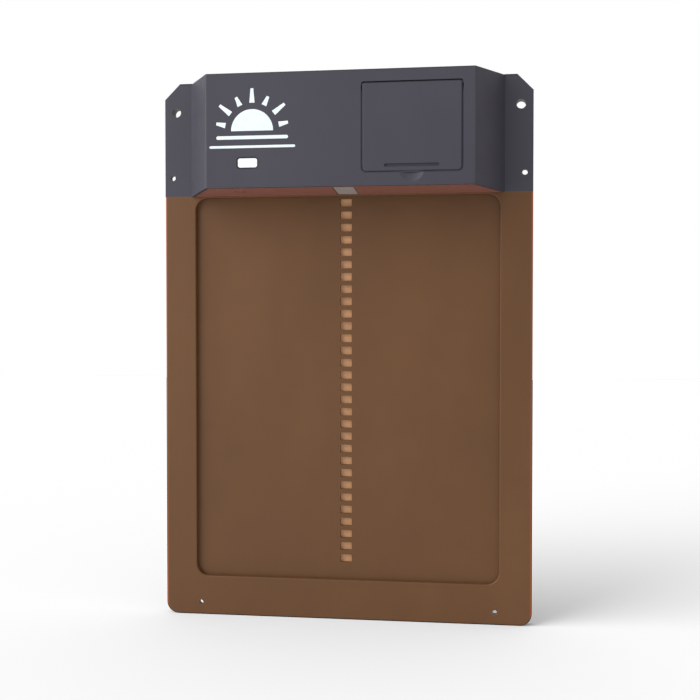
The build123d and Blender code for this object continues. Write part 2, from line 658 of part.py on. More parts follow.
def gearbox_case():
    case = extrude(Plane.YZ.offset(CASE_LEFT) * case_outline(0), amount=LID_LEFT - CASE_LEFT)
    case -= extrude(Plane.YZ.offset(CASE_LEFT + 2) * case_outline(CASE_WALL), amount=30)
    for y, z in case_screw_places():
        post = rod_x(y, z, 2.4, CASE_LEFT + 1, LID_LEFT)
        case += post & extrude(Plane.YZ.offset(CASE_LEFT) * case_outline(0), amount=30)
    for y, z in case_screw_places():
        case -= rod_x(y, z, 1.0, LID_LEFT - 8, LID_LEFT + 1)
    case -= box(-13.4, -7.0, CASE_BACK - 3, CASE_BACK + 1, DRIVE_Z - 10.2, DRIVE_Z + 10.2)
    case -= case_holes(CASE_LEFT - 1, CASE_LEFT + 3)
    return case - rod_x(TRAIN_Y, MOTOR_Z, 3.1, CASE_LEFT - 1, CASE_LEFT + 3)


def gearbox_lid():
    lid = extrude(Plane.YZ.offset(LID_LEFT) * case_outline(0), amount=CASE_WALL)
    for y, z in case_screw_places():
        lid -= rod_x(y, z, 1.15, LID_LEFT - 1, CASE_RIGHT + 1)
    return lid - case_holes(LID_LEFT - 1, CASE_RIGHT + 1)


def gearbox_screws():
    screws = []
    for y, z in case_screw_places():
        shank = rod_x(y, z, 0.95, LID_LEFT - 6, CASE_RIGHT)
        head = rod_x(y, z, 1.9, CASE_RIGHT, CASE_RIGHT + 0.9)
        screws.append(shank + head)
    return screws


def shaft_bushings():
    bushings = []
    for x0, x1 in ((CASE_LEFT, CASE_LEFT + 3.4), (LID_LEFT - 0.3, CASE_RIGHT), (5.0, 7.4)):
        ring = rod_x(DRIVE_Y, DRIVE_Z, BUSHING_R, x0, x1)
        bushings.append(ring - rod_x(DRIVE_Y, DRIVE_Z, SHAFT_R + RUN_GAP, x0 - 1, x1 + 1))
    return bushings


def gear_guard():
    """Shell round the pinion, a cheek for the shaft's end, and a sole in the shelf's notch."""
    shell = rod_x(DRIVE_Y, DRIVE_Z, GUARD_R, -4.5, 7.4) - rod_x(DRIVE_Y, DRIVE_Z, GUARD_BORE, -5.7, 5.0)
    shell -= rod_x(DRIVE_Y, DRIVE_Z, BUSHING_R + PRESS_GAP, 4, 9)
    shell &= box(-6, 9, FACE, -FRAME_DEPTH - 0.1, DRIVE_Z - 30, DRIVE_Z + 30)
    foot = box(4.9, 14.0, -FRAME_DEPTH - 2.0, -FRAME_DEPTH - 0.1, DRIVE_Z - 7, DRIVE_Z + 7)
    sole = box(-4.0, 8.6, FACE + 4.2, -FRAME_DEPTH - 0.5, HEAD_LOW - 4, HEAD_LOW + 8)
    return shell + foot + (sole & below_head(-3.0, 3.0))


# ---- motor ----------------------------------------------------------------

def motor_section(radius, flat, x0, x1):
    """Round section with two flats, the shape of a small brushed motor."""
    body = rod_x(TRAIN_Y, MOTOR_Z, radius, x0, x1)
    return body & box(x0, x1, TRAIN_Y - flat, TRAIN_Y + flat, MOTOR_Z - 20, MOTOR_Z + 20)


def motor_can():
    can = motor_section(MOTOR_R, MOTOR_FLAT, MOTOR_LEFT + 2.2, CASE_LEFT - 0.1)
    can -= motor_section(MOTOR_R - CAN_WALL, MOTOR_FLAT - CAN_WALL, MOTOR_LEFT, CASE_LEFT - 0.1 - CAN_WALL)
    can += rod_x(TRAIN_Y, MOTOR_Z, 3.0, CASE_LEFT - 0.5, CASE_LEFT + 1.6)
    return can - rod_x(TRAIN_Y, MOTOR_Z, MOTOR_SHAFT_R + RUN_GAP, MOTOR_LEFT, 0)


def motor_end_cap():
    cap = motor_section(MOTOR_R, MOTOR_FLAT, MOTOR_LEFT, MOTOR_LEFT + 2.1)
    return cap - rod_x(TRAIN_Y, MOTOR_Z, MOTOR_SHAFT_R + RUN_GAP, MOTOR_LEFT + 0.6, MOTOR_LEFT + 4)


def motor_magnets():
    """Two curved magnets above and below the armature."""
    outer = MOTOR_R - CAN_WALL - 0.05
    ring = rod_x(TRAIN_Y, MOTOR_Z, outer, MAGNET_LEFT, MAGNET_RIGHT)
    ring -= rod_x(TRAIN_Y, MOTOR_Z, MAGNET_BORE, MAGNET_LEFT - 1, MAGNET_RIGHT + 1)
    ring &= box(-50, -20, TRAIN_Y - 5.5, TRAIN_Y + 5.5, MOTOR_Z - 20, MOTOR_Z + 20)
    return list(ring.solids())


def motor_terminals():
    tabs = []
    for y in (TRAIN_Y - 5, TRAIN_Y + 3):
        tabs.append(box(MOTOR_LEFT - 3.2, MOTOR_LEFT, y, y + 2, MOTOR_Z - 0.2, MOTOR_Z + 0.2))
    return tabs


def armature():
    """Three-pole rotor."""
    core = rod_x(TRAIN_Y, MOTOR_Z, ARMATURE_R, MAGNET_LEFT + 0.5, MAGNET_RIGHT - 0.5)
    for pole in range(3):
        angle = math.radians(30 + 120 * pole)
        y, z = TRAIN_Y + 7.2 * math.cos(angle), MOTOR_Z + 7.2 * math.sin(angle)
        core -= rod_x(y, z, 3.1, MAGNET_LEFT, MAGNET_RIGHT)
    return core - rod_x(TRAIN_Y, MOTOR_Z, MOTOR_SHAFT_R, MOTOR_LEFT, -20)


def commutator():
    ring = rod_x(TRAIN_Y, MOTOR_Z, 2.4, -47.2, -44.2)
    return ring - rod_x(TRAIN_Y, MOTOR_Z, MOTOR_SHAFT_R, MOTOR_LEFT, -40)


def motor_shaft():
    return rod_x(TRAIN_Y, MOTOR_Z, MOTOR_SHAFT_R, MOTOR_LEFT + 0.8, -17.2)


# ---- electronics ----------------------------------------------------------

def main_board():
    board = rounded_slab(BOARD_LEFT, BOARD_RIGHT, BOARD_LOW, BOARD_HIGH, 1.5, BOARD_FRONT, BOARD_BACK)
    for x, z in board_screw_places():
        board -= rod_y(x, z, 1.3, BOARD_FRONT - 1, BOARD_BACK + 1)
    return board


def board_screws():
    screws = []
    for x, z in board_screw_places():
        shank = rod_y(x, z, 0.98, BOARD_FRONT, BOARD_BACK + 6)
        screws.append(shank + rod_y(x, z, 2.0, BOARD_FRONT - 1.2, BOARD_FRONT))
    return screws


def control_chip():
    return box(-74, -64, BOARD_FRONT - 1.4, BOARD_FRONT, 308, 318)


def board_capacitor():
    return rod_y(-70, 330, 3.2, BOARD_BACK, BOARD_BACK + 9)


def lead_connectors():
    blocks = []
    for z in (300, 326):
        blocks.append(box(CONNECTOR_RIGHT - 6.5, CONNECTOR_RIGHT, BOARD_BACK, BOARD_BACK + 6, z, z + 6.4))
    return blocks


def light_sensor():
    return rod_y(SENSOR_X, SENSOR_Z, 2.5, BOARD_FRONT - SENSOR_REACH, BOARD_FRONT)


def status_led():
    return rod_y(SENSOR_X - 6, SENSOR_Z, 1.5, BOARD_FRONT - SENSOR_REACH, BOARD_FRONT)


def button_switch():
    body = box(BUTTON_X - 3.5, BUTTON_X + 3.5, BOARD_BACK, BUTTON_Y + 3.5, 284.6, 289.0)
    plunger_low = BUTTON_TOP + BUTTON_TRAVEL + 0.1
    return body + rod_z(BUTTON_X, BUTTON_Y, 1.6, plunger_low, 285.0)


def manual_button():
    """Push button in the shelf; it travels upwards."""
    cap = rod_z(BUTTON_X, BUTTON_Y, BUTTON_R, HEAD_LOW + 0.9, BUTTON_TOP - 0.4)
    return cap + rod_z(BUTTON_X, BUTTON_Y, BUTTON_RIM_R, BUTTON_TOP - BUTTON_LIP, BUTTON_TOP)


def lead(points, bend):
    """Insulated wire along a path with rounded turns."""
    path = FilletPolyline(*points, radius=bend)
    profile = Plane(origin=path @ 0, z_dir=path % 0) * Circle(LEAD_R)
    return sweep(profile, path=path)


def motor_leads():
    """From the motor's terminals to the upper connector."""
    plug_y = BOARD_BACK + 4.2
    tip_x, turn_x = MOTOR_LEFT - 3.3, MOTOR_LEFT - 6.4
    leads = []
    for y, z in ((TRAIN_Y - 4, 327.8), (TRAIN_Y + 4, 330.4)):
        points = [(tip_x, y, MOTOR_Z), (turn_x, y, MOTOR_Z), (turn_x, plug_y, z),
                  (CONNECTOR_RIGHT + 0.1, plug_y, z)]
        leads.append(lead(points, 1.1))
    return leads


def battery_leads():
    """From the lower connector, up behind the motor and over the gearbox, to the tray."""
    over_z = HEIGHT - WALL - 1.0
    plug_z = 303.0
    leads = []
    for step in (0, 1):
        rise_x = MOTOR_LEFT - 1.0 - 1.6 * step
        plug_y = BOARD_BACK + 2.2 + 1.8 * step
        back_y = -12.6 + 1.7 * step
        drop_x = TRAY_SIDE - 3.0 - 1.6 * step
        tray_y = TRAY_BACK - 4 + step
        tray_z = 336 - 3 * step
        points = [(CONNECTOR_RIGHT + 0.1, plug_y, plug_z), (rise_x, plug_y, plug_z),
                  (rise_x, back_y, plug_z), (rise_x, back_y, over_z), (drop_x, back_y, over_z),
                  (drop_x, tray_y, over_z), (drop_x, tray_y, tray_z), (TRAY_SIDE - 0.1, tray_y, tray_z)]
        leads.append(lead(points, 1.3))
    return leads


PARTS = {
    "base_frame": base_frame,
    "left_rail": lambda: side_rail(-1),
    "right_rail": lambda: side_rail(1),
    "rear_bridge": rear_bridge,
    "rail_screws": rail_screws,
    "gate_panel": gate_panel,
    "rack_backing": lambda: strip_box(0.05),
    "head_cover": head_cover,
    "cover_screws": cover_screws,
    "sensor_window": sensor_window,
    "battery_cover": battery_cover,
    "battery_seal": battery_seal,
    "battery_holder": battery_holder,
    "battery_springs": lambda: [battery_spring(i) for i in range(CELL_COUNT)],
    "battery_contacts": battery_contacts,
    "drive_pinion": drive_pinion,
    "drive_shaft": drive_shaft,
    "output_gear": output_gear,
    "lower_compound_gear": lower_compound_gear,
    "upper_compound_gear": upper_compound_gear,
    "lower_idler_shaft": lambda: idler_shaft(LOWER_Z),
    "upper_idler_shaft": lambda: idler_shaft(UPPER_Z),
    "gearbox_case": gearbox_case,
    "gearbox_lid": gearbox_lid,
    "gearbox_screws": gearbox_screws,
    "shaft_bushings": shaft_bushings,
    "gear_guard": gear_guard,
    "motor_can": motor_can,
    "motor_end_cap": motor_end_cap,
    "motor_magnets": motor_magnets,
    "motor_terminals": motor_terminals,
    "motor_shaft": motor_shaft,
    "motor_pinion": motor_pinion,
    "armature": armature,
    "commutator": commutator,
    "main_board": main_board,
    "board_screws": board_screws,
    "control_chip": control_chip,
    "board_capacitor": board_capacitor,
    "lead_connectors": lead_connectors,
    "light_sensor": light_sensor,
    "status_led": status_led,
    "button_switch": button_switch,
    "manual_button": manual_button,
    "motor_leads": motor_leads,
    "battery_leads": battery_leads,
}
for number in range(CELL_COUNT):
    PARTS[f"battery_cell_{number + 1}"] = lambda number=number: battery_cell(number)


def main():
    os.makedirs("parts", exist_ok=True)
    for name, make in PARTS.items():
        shape = make()
        if isinstance(shape, (list, tuple)):
            shape = Compound(children=list(shape))
        export_step(shape, f"parts/{name}.step")


main()
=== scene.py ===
import json
import math
import random
from functools import partial

import bmesh
import bpy
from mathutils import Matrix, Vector


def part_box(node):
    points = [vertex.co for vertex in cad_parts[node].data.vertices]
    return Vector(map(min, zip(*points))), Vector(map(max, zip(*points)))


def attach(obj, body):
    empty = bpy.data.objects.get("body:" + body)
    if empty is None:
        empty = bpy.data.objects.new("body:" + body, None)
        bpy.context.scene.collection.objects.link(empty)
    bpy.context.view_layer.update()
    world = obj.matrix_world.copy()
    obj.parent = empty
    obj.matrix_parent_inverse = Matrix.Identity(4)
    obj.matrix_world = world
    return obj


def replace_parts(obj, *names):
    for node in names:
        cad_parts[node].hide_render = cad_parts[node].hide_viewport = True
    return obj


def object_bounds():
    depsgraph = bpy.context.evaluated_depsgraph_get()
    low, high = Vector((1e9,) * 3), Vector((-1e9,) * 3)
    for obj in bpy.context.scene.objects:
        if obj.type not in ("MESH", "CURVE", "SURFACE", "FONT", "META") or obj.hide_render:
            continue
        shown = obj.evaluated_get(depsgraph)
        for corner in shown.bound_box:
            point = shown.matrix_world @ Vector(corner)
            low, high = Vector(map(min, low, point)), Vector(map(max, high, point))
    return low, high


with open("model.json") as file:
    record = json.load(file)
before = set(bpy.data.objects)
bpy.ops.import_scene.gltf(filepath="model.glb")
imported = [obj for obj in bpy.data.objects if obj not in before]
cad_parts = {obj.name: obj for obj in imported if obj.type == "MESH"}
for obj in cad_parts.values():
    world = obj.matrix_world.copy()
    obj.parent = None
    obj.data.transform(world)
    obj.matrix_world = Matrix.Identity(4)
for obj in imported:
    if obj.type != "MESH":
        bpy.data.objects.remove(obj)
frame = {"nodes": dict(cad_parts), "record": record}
cad_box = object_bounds()
NODES = frame["nodes"]
CELLS = sorted(name for name in NODES if name.startswith("battery_cell_"))
MOUNTS = {mount["name"]: mount for mount in frame["record"]["mounts"]}
random.seed(7)

# Every length is in metres and every angle in degrees, unless its comment says otherwise.
MM = 0.001
LOW, HIGH = Vector(cad_box[0]), Vector(cad_box[1])
WIDTH = HIGH.x - LOW.x
HEIGHT = HIGH.z
FACE = LOW.y
HEAD_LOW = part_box("head_cover")[0][2]
FLANGE_Y = MOUNTS["upper_holes"]["pos_m"][1]
SHARP = math.radians(35)

# ---- camera, light and floor ---------------------------------------------------

CAMERA_AT = Vector((0.1081, -0.7326, 0.1946))
CAMERA_YAW = math.radians(8.25)
CAMERA_PITCH = math.radians(-1.5)
CAMERA_LENS = 58.07
CAMERA_SENSOR = 36.0
KEY_AT = (-1.41, -0.92, 1.25)
KEY_TOWARDS = (0, 0, 0.18)
KEY_SIZE = (2.0, 2.0)
KEY_WATTS = 47.0
SOFT_LIGHT = 0.60
BACKDROP = 1.0
FLOOR_HALF = 3.0
FLOOR_DROP = 0.4 * MM

# ---- colours, as sRGB values out of 255 -------------------------------------

BROWN = (98, 66, 39)
# Painted red glow on the frame's underside beneath the head.
RED_GLOW = (142, 92, 82)
# Warm painted highlight for the frame's edges; on its rubbed edges it is wear and painted highlight together.
WARM_WEAR_AND_HIGHLIGHT = (176, 88, 50)
SLATE = (64, 62, 71)
TAN = (190, 143, 104)
WHITE = (248, 248, 246)
SLEEVE_DARK = (38, 46, 54)
SLEEVE_BAND = (178, 116, 56)
SLEEVE_SCUFF = (110, 112, 112)
CELL_STEEL = (196, 196, 192)

# ---- where the colours change on a node --------------------------------------

# Each change runs from its first distance to its second, measured from the edge that it follows.
# The rim and rounded distances place the frame's painted edge highlight; the rim ones also place the head's
# painted top-rim shade.
RIM_WIDE = 1.3 * MM
RIM_FULL = 0.3 * MM
ROUNDED_FULL = 0.7 * MM
ROUNDED_END = 1.2 * MM
# The shelf distances place the painted red glow under the head.
SHELF_FULL = 0.4 * MM
SHELF_END = 0.1 * MM
BAND_LONG = 14.0 * MM
BAND_FADE = 0.2 * MM
BARE_END = 1.25 * MM
BARE_FADE = 0.1 * MM

# ---- printed sun ---------------------------------------------------------------

PRINT_FILM = 0.02 * MM
PRINT_SUNK = 0.1 * MM
SUN_MIDDLE = LOW.x + 65.2 * MM
HORIZON = HEIGHT - 36.5 * MM
SUN_R = 13.5 * MM
SUN_STEPS = 40
RAYS = 7
RAY_FIRST = 12
RAY_SWEEP = 156
RAY_GAP = 4.0 * MM
RAY_ENDS = (10.0 * MM, 13.0 * MM)
RAY_FOOT = 1.7 * MM
RAY_TIP = 0.9 * MM
# Half width, middle below the head's top, and height, in millimetres.
BARS = ((23.0, 40.6, 2.2), (27.5, 46.4, 1.6))
BAR_ROUND = 2.1

# ---- skirt in the battery cover's seam -----------------------------------------

LIP_PAST_SEAL = 1.6 * MM
LIP_BELOW_TOP = 2.0 * MM
LIP_FRONT = 0.32 * MM
LIP_BACK = 1.1 * MM
LIP_WIDE = 0.26 * MM
LIP_UNDER = 0.1 * MM
COVER_CORNER = 3.0 * MM
CORNER_STEPS = 8

# ---- parts on the board ----------------------------------------------------------

LENS_FOOT = 0.9 * MM
LENS_SHARE = 0.84
# Share of the can's radius, and millimetres past its foot or its top.
CAN_FOOT = ((0.0, 0.0), (0.94, 0.0), (1.0, 0.3), (1.0, 1.3), (0.90, 1.8), (1.0, 2.3))
CAN_TOP = ((1.0, -0.4), (0.92, 0.0), (0.84, 0.0), (0.82, -0.3), (0.0, -0.3))
CHIP_LIFT = 0.1 * MM
CHIP_DRAFT = 0.25 * MM
CHIP_MARK_IN = 1.3 * MM
CHIP_MARK_R = 0.45 * MM
CHIP_MARK_PROUD = 0.02 * MM
CHIP_MARK_SUNK = 0.1 * MM
LEGS = 8
LEG_ROOT = 0.2 * MM
LEG_KNEE = 0.5 * MM
LEG_TOE = 1.3 * MM
LEG_THICK = 0.15 * MM
LEG_HALF = 0.2 * MM
LEG_DROP = 0.6 * MM
LEG_CLEAR = 0.02 * MM
# Millimetres from the board's lower left corner.
SMALL_PART_ROWS = (17.5, 21.0, 39.5, 43.0, 46.5, 50.0)
SMALL_PART_COLUMNS = (4.0, 7.3, 10.6, 13.9, 17.2)
SMALL_PART_GAPS = 0.2
# Half length, half width and thickness, in millimetres.
SMALL_PART_SIZES = ((0.8, 0.4, 0.45), (1.0, 0.62, 0.5))
SMALL_PART_DRAFT = 0.03 * MM
# Shares of the half length, and millimetres.
SMALL_PART_BODY = 0.62
SMALL_PART_END = 0.6
END_PROUD = 0.02
END_DRAFT = 0.05 * MM
# Radius, and height above the board.
SOLDER = ((0.0, 0.0), (0.9 * MM, 0.0), (0.55 * MM, 0.35 * MM), (0.28 * MM, 0.8 * MM), (0.0, 0.9 * MM))
SOLDERED = (("light_sensor", 2), ("status_led", 2), ("board_capacitor", 2), ("lead_connectors", 4))
PIN_PITCH = 2.54 * MM

# ---- armature windings ---------------------------------------------------------

POLES = 3
COIL_TURNS = 4
COIL_WIRE = 0.25 * MM
COIL_CLEAR = 1.1
COIL_CORNER = 1.0 * MM
COIL_FIRST = 3.0 * MM
COIL_PITCH = 0.52 * MM
SLOT_R = 3.1 * MM
SLOT_RISE = 3.6 * MM
SLOT_ACROSS = 6.235 * MM


def linear(rgb):
    """sRGB out of 255 to a linear colour with alpha."""
    out = []
    for value in rgb:
        c = value / 255
        out.append(c / 12.92 if c <= 0.04045 else ((c + 0.055) / 1.055) ** 2.4)
    return (*out, 1.0)


def shade(rgb, factor):
    """The same colour, lighter or darker."""
    return tuple(min(255, value * factor) for value in rgb)


# ---- material building blocks ------------------------------------------------

class Material:
    """A node material with short calls for the pieces used below."""

    def __init__(self, name):
        self.material = bpy.data.materials.new(name)
        self.material.use_nodes = True
        self.tree = self.material.node_tree
        self.shader = self.tree.nodes["Principled BSDF"]
        self.place = self.add("ShaderNodeTexCoord").outputs["Object"]

    def add(self, kind, **values):
        node = self.tree.nodes.new(kind)
        for key, value in values.items():
            setattr(node, key, value)
        return node

    def link(self, source, target):
        self.tree.links.new(source, target)

    def fill(self, socket, value):
        """Sets a socket to a number or colour, or links it to another socket."""
        if isinstance(value, (int, float, tuple)):
            socket.default_value = value
        else:
            self.link(value, socket)

    def colour(self, source):
        self.link(source, self.shader.inputs["Base Color"])

    def roughness(self, source):
        self.link(source, self.shader.inputs["Roughness"])

    def noise(self, scale, detail=4.0, rough=0.55, stretch=None):
        """Noise over the piece; scale is in features per metre."""
        node = self.add("ShaderNodeTexNoise")
        node.inputs["Scale"].default_value = scale
        node.inputs["Detail"].default_value = detail
        node.inputs["Roughness"].default_value = rough
        place = self.place
        if stretch:
            mapping = self.add("ShaderNodeMapping")
            mapping.inputs["Scale"].default_value = stretch
            self.link(place, mapping.inputs["Vector"])
            place = mapping.outputs["Vector"]
        self.link(place, node.inputs["Vector"])
        return node.outputs["Fac"]

    def span(self, source, low, high, from_low=0.3, from_high=0.7):
        """Source stretched to run from low to high; it is held there past from_low and from_high."""
        node = self.add("ShaderNodeMapRange")
        node.inputs["From Min"].default_value = from_low
        node.inputs["From Max"].default_value = from_high
        node.inputs["To Min"].default_value = low
        node.inputs["To Max"].default_value = high
        self.link(source, node.inputs["Value"])
        return node.outputs["Result"]

    def mix(self, factor, first, second):
        """Blend of two colours: the first at factor 0, the second at 1."""
        node = self.add("ShaderNodeMix", data_type="RGBA")
        for index, value in ((0, factor), (6, first), (7, second)):
            self.fill(node.inputs[index], value)
        return node.outputs[2]

    def edges(self, radius):
        """1 on edges and 0 on flat faces: rubbed edges, and on the frame also a painted highlight."""
        bevel = self.add("ShaderNodeBevel", samples=4)
        bevel.inputs["Radius"].default_value = radius
        normal = self.add("ShaderNodeNewGeometry").outputs["Normal"]
        dot = self.add("ShaderNodeVectorMath", operation="DOT_PRODUCT")
        self.link(bevel.outputs["Normal"], dot.inputs[0])
        self.link(normal, dot.inputs[1])
        return self.span(dot.outputs["Value"], 1.0, 0.0, from_low=0.80, from_high=0.99)

    def bumps(self, *layers):
        """Stacks height maps: (source, strength, distance)."""
        normal = None
        for source, strength, distance in layers:
            node = self.add("ShaderNodeBump")
            node.inputs["Strength"].default_value = strength
            node.inputs["Distance"].default_value = distance
            self.link(source, node.inputs["Height"])
            if normal:
                self.link(normal, node.inputs["Normal"])
            normal = node.outputs["Normal"]
        self.link(normal, self.shader.inputs["Normal"])

    def axis(self, letter):
        """Position along one of the shared frame's axes."""
        split = self.add("ShaderNodeSeparateXYZ")
        self.link(self.place, split.inputs[0])
        return split.outputs[letter]

    def math(self, operation, first, second=0.0):
        node = self.add("ShaderNodeMath", operation=operation)
        for index, value in ((0, first), (1, second)):
            self.fill(node.inputs[index], value)
        return node.outputs[0]

    def set(self, **values):
        """Sets the shader's own sockets; an underscore stands for a space."""
        for key, value in values.items():
            self.shader.inputs[key.replace("_", " ")].default_value = value


def moulded(name, rgb, rough=0.42, grain=2600.0, wear_and_highlight=0.35, edge=0.6 * MM, rub=None, painted_light=None):
    """Moulded plastic: fine spark-eroded grain, faint flow mottling, rubbed edges.

    rub is the colour of the rubbed edges; on the frame it is also a painted warm highlight. painted_light
    adds painted light and shade: a highlight and a glow on the frame, a shade on the head. It takes the
    material and the colour so far, and returns a colour.
    """
    m = Material(name)
    flow = m.noise(14.0, detail=3.0, stretch=(1.0, 1.0, 0.45))
    patches = m.noise(70.0, detail=5.0)
    base = m.mix(m.span(flow, 0.0, 1.0), linear(shade(rgb, 0.95)), linear(shade(rgb, 1.05)))
    base = m.mix(m.span(patches, 0.0, 0.18), base, linear(shade(rgb, 0.88)))
    wear_and_highlight_mask = m.span(m.edges(edge), 0.0, wear_and_highlight, from_low=0.0, from_high=1.0)
    base = m.mix(wear_and_highlight_mask, base, linear(rub or shade(rgb, 1.28)))
    m.colour(painted_light(m, base) if painted_light else base)
    m.roughness(m.span(patches, rough - 0.05, rough + 0.07))
    m.bumps((m.noise(grain, detail=2.0), 0.35, 0.03 * MM), (m.noise(260.0, detail=3.0), 0.10, 0.04 * MM))
    m.set(IOR=1.47, Specular_IOR_Level=0.30)
    return m.material


def frame_painted_glow(m, base):
    """Painted light: a warm highlight on the frame's rounded outer edge, and a painted red glow where the
    frame closes the head from below.
    """
    side = m.math("ABSOLUTE", m.axis("X"))
    # Painted warm highlight along the frame's rounded outer edge.
    rim_highlight = m.span(side, 0.0, 0.6, WIDTH / 2 - RIM_WIDE, WIDTH / 2 - RIM_FULL)
    rounded = m.span(m.axis("Y"), 1.0, 0.0, FLANGE_Y + ROUNDED_FULL, FLANGE_Y + ROUNDED_END)
    base = m.mix(m.math("MULTIPLY", rim_highlight, rounded), base, linear(WARM_WEAR_AND_HIGHLIGHT))
    # Painted red glow where the frame closes the head from below.
    high = m.span(m.axis("Z"), 0.0, 0.85, HEAD_LOW - SHELF_FULL, HEAD_LOW)
    shelf_glow = m.span(m.axis("Y"), 1.0, 0.0, FLANGE_Y - SHELF_FULL, FLANGE_Y - SHELF_END)
    return m.mix(m.math("MULTIPLY", high, shelf_glow), base, linear(RED_GLOW))


def head_painted_shade(m, base):
    """Painted shade: the head's top rim is darker."""
    top = m.span(m.axis("Z"), 0.0, 0.75, HEIGHT - RIM_WIDE, HEIGHT - RIM_FULL)
    return m.mix(top, base, linear(shade(SLATE, 0.35)))


def metal(name, rgb, rough=0.30):
    """Metal with drawn lines and a faint tarnish."""
    m = Material(name)
    lines = m.noise(900.0, detail=3.0, stretch=(1.0, 1.0, 30.0))
    tarnish = m.noise(120.0)
    m.colour(m.mix(m.span(tarnish, 0.0, 0.35), linear(rgb), linear(shade(rgb, 0.72))))
    m.roughness(m.span(lines, rough - 0.08, rough + 0.12))
    m.bumps((lines, 0.12, 0.01 * MM))
    m.set(Metallic=1.0)
    return m.material


def rubber(name, rgb):
    """Matt rubber with a dusty bloom."""
    m = Material(name)
    bloom = m.noise(180.0, detail=6.0)
    m.colour(m.mix(m.span(bloom, 0.0, 0.4), linear(rgb), linear(shade(rgb, 1.7))))
    m.roughness(m.span(bloom, 0.72, 0.88))
    m.bumps((m.noise(3200.0, detail=2.0), 0.3, 0.02 * MM))
    return m.material


def board(name):
    """Circuit board: solder mask over faint copper tracks."""
    m = Material(name)
    tracks = m.add("ShaderNodeTexBrick")
    tracks.inputs["Scale"].default_value = 210.0
    tracks.inputs["Mortar Size"].default_value = 0.035
    tracks.inputs["Color1"].default_value = linear((18, 74, 44))
    tracks.inputs["Color2"].default_value = linear((20, 82, 50))
    tracks.inputs["Mortar"].default_value = linear((46, 120, 70))
    turn = m.add("ShaderNodeMapping")
    turn.inputs["Rotation"].default_value = (math.radians(90), 0, 0)
    m.link(m.place, turn.inputs["Vector"])
    m.link(turn.outputs["Vector"], tracks.inputs["Vector"])
    m.colour(tracks.outputs["Color"])
    m.roughness(m.span(m.noise(400.0), 0.25, 0.38))
    m.bumps((tracks.outputs["Fac"], 0.2, 0.03 * MM))
    m.set(Coat_Weight=0.4)
    return m.material


def translucent(name, rgb):
    """Milky window plastic."""
    m = Material(name)
    cloud = m.noise(300.0)
    m.colour(m.mix(m.span(cloud, 0.0, 1.0), linear(rgb), linear(shade(rgb, 0.96))))
    m.roughness(m.span(cloud, 0.18, 0.28))
    m.bumps((m.noise(900.0), 0.05, 0.02 * MM))
    m.set(Subsurface_Weight=0.25, Subsurface_Scale=2.0 * MM, Coat_Weight=0.3)
    return m.material


def cell_sleeve(name, node):
    """Battery sleeve: dark, with a plain coloured band at the raised end, and bare steel at both ends."""
    m = Material(name)
    low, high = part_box(node)
    tops = [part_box(cell)[1][2] for cell in CELLS]
    nub_up = high[2] > sum(tops) / len(tops)
    height = m.axis("Z")
    from_nub = m.math("SUBTRACT", high[2], height) if nub_up else m.math("SUBTRACT", height, low[2])
    band = m.span(from_nub, 1.0, 0.0, BAND_LONG, BAND_LONG + BAND_FADE)
    scuffs = m.noise(150.0, detail=3.0, stretch=(1, 1, 4))
    sleeve = m.mix(band, linear(SLEEVE_DARK), linear(SLEEVE_BAND))
    sleeve = m.mix(m.span(scuffs, 0.0, 0.05), sleeve, linear(SLEEVE_SCUFF))
    middle = (low[2] + high[2]) / 2
    reach = (high[2] - low[2]) / 2
    from_middle = m.math("ABSOLUTE", m.math("SUBTRACT", height, middle))
    bare = m.span(from_middle, 0.0, 1.0, reach - BARE_END, reach - BARE_END + BARE_FADE)
    m.colour(m.mix(bare, sleeve, linear(CELL_STEEL)))
    m.link(bare, m.shader.inputs["Metallic"])
    m.roughness(m.span(scuffs, 0.22, 0.40))
    m.bumps((scuffs, 0.05, 0.02 * MM))
    m.set(Coat_Weight=0.35)
    return m.material


def strip(name):
    """Thin tan plastic with a painted glow: a little emission stands in for light coming through from behind.
    """
    m = Material(name)
    cloud = m.noise(160.0)
    m.colour(m.mix(m.span(cloud, 0.0, 1.0), linear(shade(TAN, 0.95)), linear(shade(TAN, 1.04))))
    m.roughness(m.span(cloud, 0.45, 0.60))
    m.bumps((m.noise(2200.0, detail=2.0), 0.25, 0.02 * MM))
    # Painted glow: emission in place of light from behind.
    m.set(Emission_Color=linear(TAN), Emission_Strength=0.14, Specular_IOR_Level=0.3)
    return m.material


